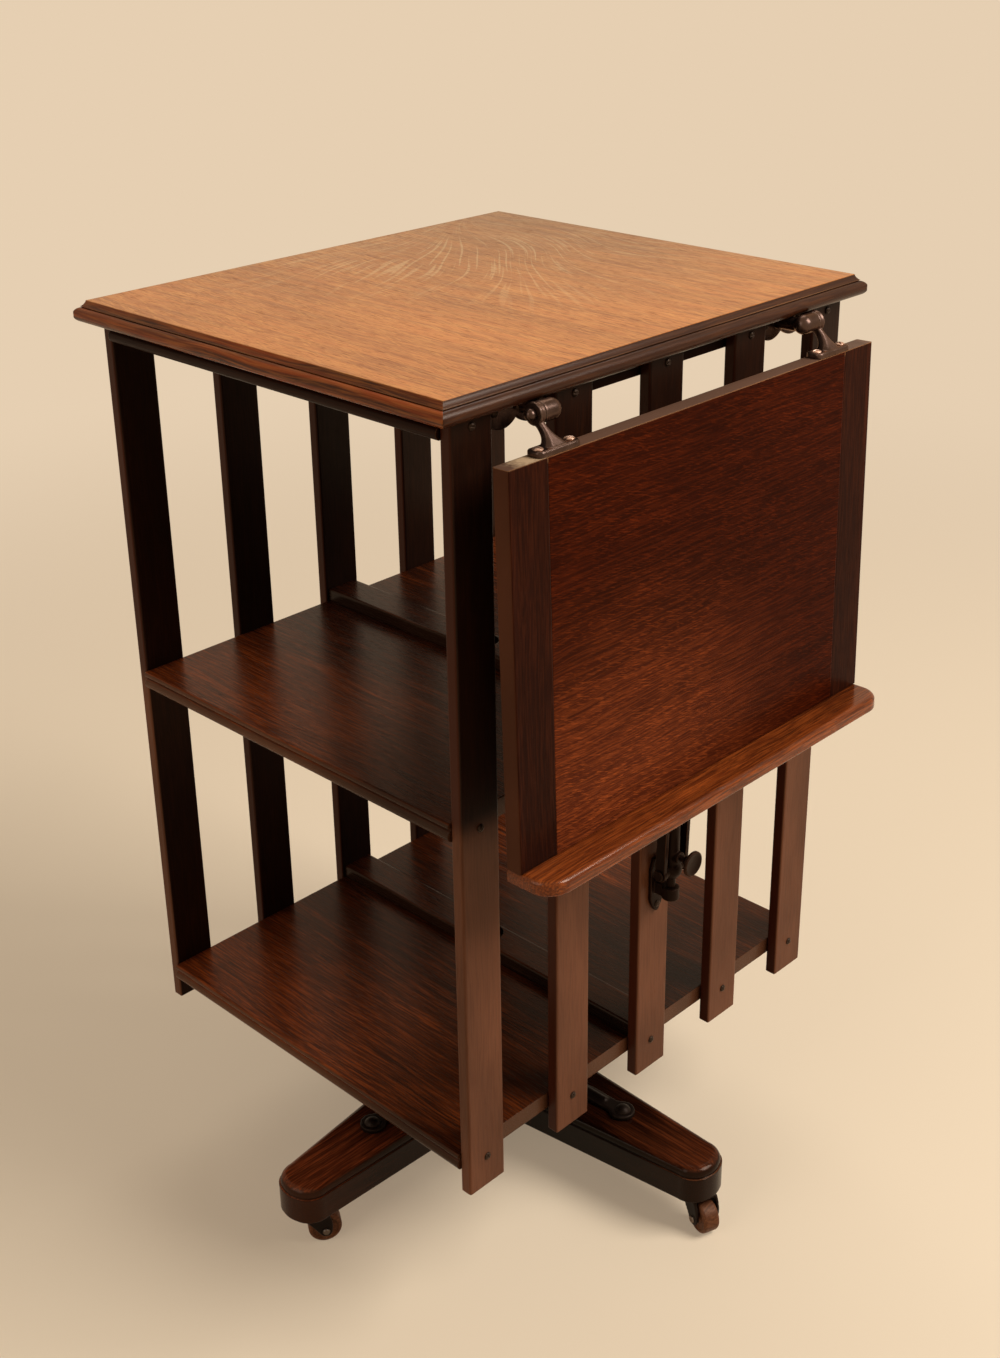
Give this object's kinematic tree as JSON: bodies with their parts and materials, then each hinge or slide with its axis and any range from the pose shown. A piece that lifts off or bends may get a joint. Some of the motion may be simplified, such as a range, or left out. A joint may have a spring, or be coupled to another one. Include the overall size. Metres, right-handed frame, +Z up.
{
  "type": "revolving bookcase",
  "caption": "Slatted revolving bookcase with open shelf tiers on a castored cross base, a moulded top and a hinged reading slope held by a sliding stay.",
  "frame": {"origin": "on the floor, on the spindle's axis", "axes": "+Z up along the spindle, +X towards the slatted side with the reading slope, -Y towards the open face seen in the picture"},
  "size_m": [0.5983, 0.5939, 0.895],
  "materials": {
    "oak_top": "polished, figured",
    "oak_case": "polished",
    "oak_slope": "polished",
    "oak_base": "polished",
    "castor_wood": "oiled",
    "iron": "black japanned",
    "bronzed_iron": "bronzed",
    "steel": "worn"
  },
  "bodies": {
    "base": {"base_board_x": "oak_base", "base_board_y": "oak_base", "spider": "iron", "spider_bolts": "iron", "spindle": "steel", "castor_sockets": "iron"},
    "case": {"top_board": "oak_top", "sub_top": "oak_case", "shelf_middle": "oak_case", "shelf_bottom": "oak_case", "slat_right_1": "oak_case", "slat_right_2": "oak_case", "slat_right_3": "oak_case", "slat_right_4": "oak_case", "slat_right_5": "oak_case", "slat_left_1": "oak_case", "slat_left_2": "oak_case", "slat_left_3": "oak_case", "slat_left_4": "oak_case", "slat_left_5": "oak_case", "slat_screws": "steel", "book_stop_middle": "oak_case", "book_stop_bottom": "oak_case", "bottom_bush": "iron", "pivot_cup": "iron", "hinge_bracket_near": "bronzed_iron", "hinge_bracket_far": "bronzed_iron", "hinge_pin_near": "bronzed_iron", "hinge_pin_far": "bronzed_iron", "guide_rod": "steel", "stay_bracket_lower": "bronzed_iron", "stay_bracket_upper": "bronzed_iron", "iron_screws": "steel"},
    "reading_slope": {"slope_panel": "oak_slope", "slope_cleat_near": "oak_slope", "slope_cleat_far": "oak_slope", "book_ledge": "oak_slope", "hinge_arm_near": "bronzed_iron", "hinge_arm_far": "bronzed_iron", "stay_lugs": "bronzed_iron", "stay_pin": "steel", "slope_screws": "steel"},
    "stay": {"stay_bar_near": "bronzed_iron", "stay_bar_far": "bronzed_iron", "stay_spacer": "bronzed_iron"},
    "collar": {"stay_collar": "bronzed_iron"},
    "thumbscrew": {"thumb_screw": "bronzed_iron"},
    "castor_1": {"castor_horn_1": "iron", "castor_axle_1": "steel"},
    "wheel_1": {"castor_wheel_1": "castor_wood"},
    "castor_2": {"castor_horn_2": "iron", "castor_axle_2": "steel"},
    "wheel_2": {"castor_wheel_2": "castor_wood"},
    "castor_3": {"castor_horn_3": "iron", "castor_axle_3": "steel"},
    "wheel_3": {"castor_wheel_3": "castor_wood"},
    "castor_4": {"castor_horn_4": "iron", "castor_axle_4": "steel"},
    "wheel_4": {"castor_wheel_4": "castor_wood"}
  },
  "joints": [
    {"name": "case_turn", "type": "hinge", "parent": "base", "child": "case", "pos_m": [0, 0, 0.5], "axis": [0, 0, 1], "continuous": true},
    {"name": "slope_tilt", "type": "hinge", "parent": "case", "child": "reading_slope", "pos_m": [0.237, 0, 0.87], "axis": [0, -1, 0], "range_deg": [0, 60]},
    {"name": "stay_swing", "type": "hinge", "parent": "reading_slope", "child": "stay", "pos_m": [0.24579, 0, 0.6335], "axis": [0, -1, 0], "range_deg": [-121, 1]},
    {"name": "collar_swing", "type": "hinge", "parent": "stay", "child": "collar", "pos_m": [0.237, 0, 0.397], "axis": [0, -1, 0], "range_deg": [-1, 61]},
    {"name": "thumbscrew_turn", "type": "hinge", "parent": "collar", "child": "thumbscrew", "pos_m": [0.237, 0, 0.412], "axis": [1, 0, 0], "range_deg": [0, 360]},
    {"name": "castor_swivel_1", "type": "hinge", "parent": "base", "child": "castor_1", "pos_m": [0.26972, 0.01225, 0.045], "axis": [0, 0, 1], "continuous": true},
    {"name": "wheel_roll_1", "type": "hinge", "parent": "castor_1", "child": "wheel_1", "pos_m": [0.28476, 0.00678, 0.0165], "axis": [0.342, 0.9397, 0], "continuous": true},
    {"name": "castor_swivel_2", "type": "hinge", "parent": "base", "child": "castor_2", "pos_m": [-0.01225, 0.26972, 0.045], "axis": [0, 0, 1], "continuous": true},
    {"name": "wheel_roll_2", "type": "hinge", "parent": "castor_2", "child": "wheel_2", "pos_m": [-0.00523, 0.2841, 0.0165], "axis": [-0.8988, 0.4384, 0], "continuous": true},
    {"name": "castor_swivel_3", "type": "hinge", "parent": "base", "child": "castor_3", "pos_m": [-0.26972, -0.01225, 0.045], "axis": [0, 0, 1], "continuous": true},
    {"name": "wheel_roll_3", "type": "hinge", "parent": "castor_3", "child": "wheel_3", "pos_m": [-0.27957, 0.00036, 0.0165], "axis": [-0.788, -0.6157, 0], "continuous": true},
    {"name": "castor_swivel_4", "type": "hinge", "parent": "base", "child": "castor_4", "pos_m": [0.01225, -0.26972, 0.045], "axis": [0, 0, 1], "continuous": true},
    {"name": "wheel_roll_4", "type": "hinge", "parent": "castor_4", "child": "wheel_4", "pos_m": [0.02073, -0.25615, 0.0165], "axis": [-0.848, 0.5299, 0], "continuous": true}
  ],
  "couplings": [
    {"joint": "stay_swing", "follows": "slope_tilt", "ratio": -2},
    {"joint": "collar_swing", "follows": "slope_tilt", "ratio": 1}
  ]
}
